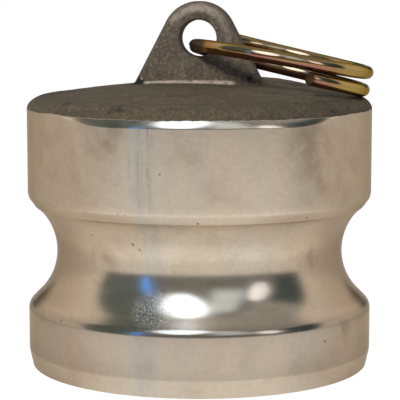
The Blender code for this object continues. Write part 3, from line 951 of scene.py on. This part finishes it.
def addFloor():
    bm = bmesh.new()
    bmesh.ops.create_circle(bm, cap_ends=True, radius=studio["floorSize"], segments=96)
    bmesh.ops.translate(bm, verts=bm.verts, vec=(0, 0, -0.02 * mm))
    floor = makeObject(bm, "studioFloor")
    if floor.data.polygons[0].normal.z < 0:
        floor.data.flip_normals()
    material, tree, shader = newMaterial("paleFloor")
    source = addNode(tree, "TexCoord").outputs["Object"]
    mottled = grain(tree, source, 40, 2.0)
    paint = blendColours(tree, mottled, studio["floorColour"], studio["floorMottle"])
    tree.links.new(paint, shader.inputs["Base Color"])
    shader.inputs["Roughness"].default_value = studio["floorRoughness"]
    direct, seen = whiteRays(tree)
    away = addNode(tree, "VectorMath", {0: source}, operation="LENGTH").outputs["Value"]
    mirrored = blendColours(tree, fade(tree, away, 36 * mm, 56 * mm), studio["nearFloor"], studio["white"])
    mirrored = blendColours(tree, fade(tree, away, 64 * mm, 88 * mm), mirrored, studio["farFloor"])
    bearing = addNode(tree, "VectorMath", {0: source}, operation="NORMALIZE").outputs[0]
    ahead = pair(tree, "DOT_PRODUCT", bearing, fromCamera(0, -1, 0))
    sideways = times(tree, calc(tree, "ARCCOSINE", ahead), 180 / math.pi)
    sideways = times(tree, sideways, fade(tree, away, 28 * mm, 72 * mm, 2.0, 1.08))
    sides = fade(tree, sideways, *studio["sideFade"])
    mirrored = blendColours(tree, sides, mirrored, studio["sideTint"], "MULTIPLY")
    beyond = times(tree, fade(tree, away, 560 * mm, 820 * mm), fade(tree, ahead, *studio["hoodFade"]))
    mirrored = blendColours(tree, beyond, mirrored, studio["middleHood"])
    shown = blendColours(tree, direct, mirrored, studio["cameraWhite"])
    glow = addNode(tree, "Emission", {"Color": shown, "Strength": studio["floorGlow"]}).outputs[0]
    lit = addNode(tree, "MixShader", {0: times(tree, seen, 0.97), 1: shader.outputs[0], 2: glow}).outputs[0]
    back = addNode(tree, "NewGeometry").outputs["Backfacing"]
    clear = addNode(tree, "BsdfTransparent").outputs[0]
    both = addNode(tree, "MixShader", {0: back, 1: lit, 2: clear}).outputs[0]
    tree.links.new(both, tree.nodes["Material Output"].inputs["Surface"])
    floor.data.materials.append(material)


# The dim room before the object, by bearing and height in degrees.
def hoodColour(tree, direction, azimuth, elevation):
    toRight = fade(tree, azimuth, 40, 60)
    hood = blendColours(tree, toRight, studio["leftHood"], studio["rightHood"])
    hood = blendColours(tree, between(tree, azimuth, -50, -38, 54, 66), hood, studio["middleHood"])
    highRight = times(tree, toRight, fade(tree, elevation, 34, 48))
    hood = blendColours(tree, highRight, hood, studio["highHood"])
    patchy = addNode(tree, "TexNoise", {"Vector": direction, "Scale": 5.0, "Detail": 2.0}).outputs["Fac"]
    hood = blendColours(tree, fade(tree, patchy, 0.35, 0.65, 0.35, 0.0), hood, studio["hoodPatches"])
    panel = times(tree, between(tree, azimuth, 4, 16, 30, 42), between(tree, elevation, 16, 30, 54, 70))
    return blendColours(tree, panel, hood, studio["panel"])


def addWorld():
    world = bpy.data.worlds.new("studio")
    world.use_nodes = True
    bpy.context.scene.world = world
    tree = world.node_tree
    background = tree.nodes["Background"]
    direction = addNode(tree, "TexCoord").outputs["Generated"]
    toward, aside, up = (pair(tree, "DOT_PRODUCT", direction, axis)
                         for axis in (fromCamera(0, -1, 0), fromCamera(1, 0, 0), Vector((0, 0, 1))))
    azimuth = times(tree, calc(tree, "ARCTAN2", aside, toward), 180 / math.pi)
    elevation = times(tree, calc(tree, "ARCSINE", up), 180 / math.pi)
    direct, seen = whiteRays(tree)
    room = blendColours(tree, fade(tree, elevation, -2, 12), studio["farFloor"], studio["white"])
    sides = fade(tree, absolute(tree, azimuth), *studio["sideFade"])
    room = blendColours(tree, sides, room, studio["sideTint"], "MULTIPLY")
    behind = times(tree, fade(tree, toward, -0.76, -0.90), fade(tree, elevation, 1, 7))
    behind = times(tree, behind, fade(tree, elevation, 44, 28))
    room = blendColours(tree, behind, room, studio["behind"])
    slope = plus(tree, toward, plus(tree, times(tree, up, 0.44), times(tree, aside, 0.04)))
    before = times(tree, fade(tree, slope, *studio["hoodFade"]), fade(tree, elevation, -2.0, 0.5))
    room = blendColours(tree, before, room, hoodColour(tree, direction, azimuth, elevation))
    room = blendColours(tree, fade(tree, elevation, 66, 80), room, studio["ceiling"])
    shown = blendColours(tree, direct, room, studio["white"])
    tree.links.new(blendColours(tree, seen, studio["ambient"], shown), background.inputs["Color"])
    background.inputs["Strength"].default_value = 1.0


# A soft elliptical panel in that direction from the object, facing it.
def addLight(name, direction, width, height, radiance, colour, mirrored):
    data = bpy.data.lights.new(name, "AREA")
    data.shape = "ELLIPSE"
    data.size, data.size_y = width, height
    data.color = colour
    data.energy = radiance * math.pi * math.pi * width * height / 4
    panel = bpy.data.objects.new(name, data)
    toward = fromCamera(*direction).normalized()
    panel.location = Vector(studio["lightCentre"]) + toward * studio["lightDistance"]
    panel.rotation_euler = toward.to_track_quat("Z", "Y").to_euler()
    panel.visible_glossy = mirrored
    bpy.context.scene.collection.objects.link(panel)


def addCamera():
    data = bpy.data.cameras.new("camera")
    data.lens = studio["lens"]
    data.sensor_width = 36
    data.clip_start = 0.01
    data.clip_end = 50
    camera = bpy.data.objects.new("camera", data)
    camera.location = studio["camera"]
    camera.rotation_euler = [math.radians(v) for v in studio["cameraTurn"]]
    bpy.context.scene.collection.objects.link(camera)
    bpy.context.scene.camera = camera


addFloor()
addWorld()
for lightName, lightValues in studio["lights"].items():
    addLight(lightName, *lightValues)
addCamera()
bpy.context.scene.view_settings.view_transform = "Standard"
print("stage: studio made")
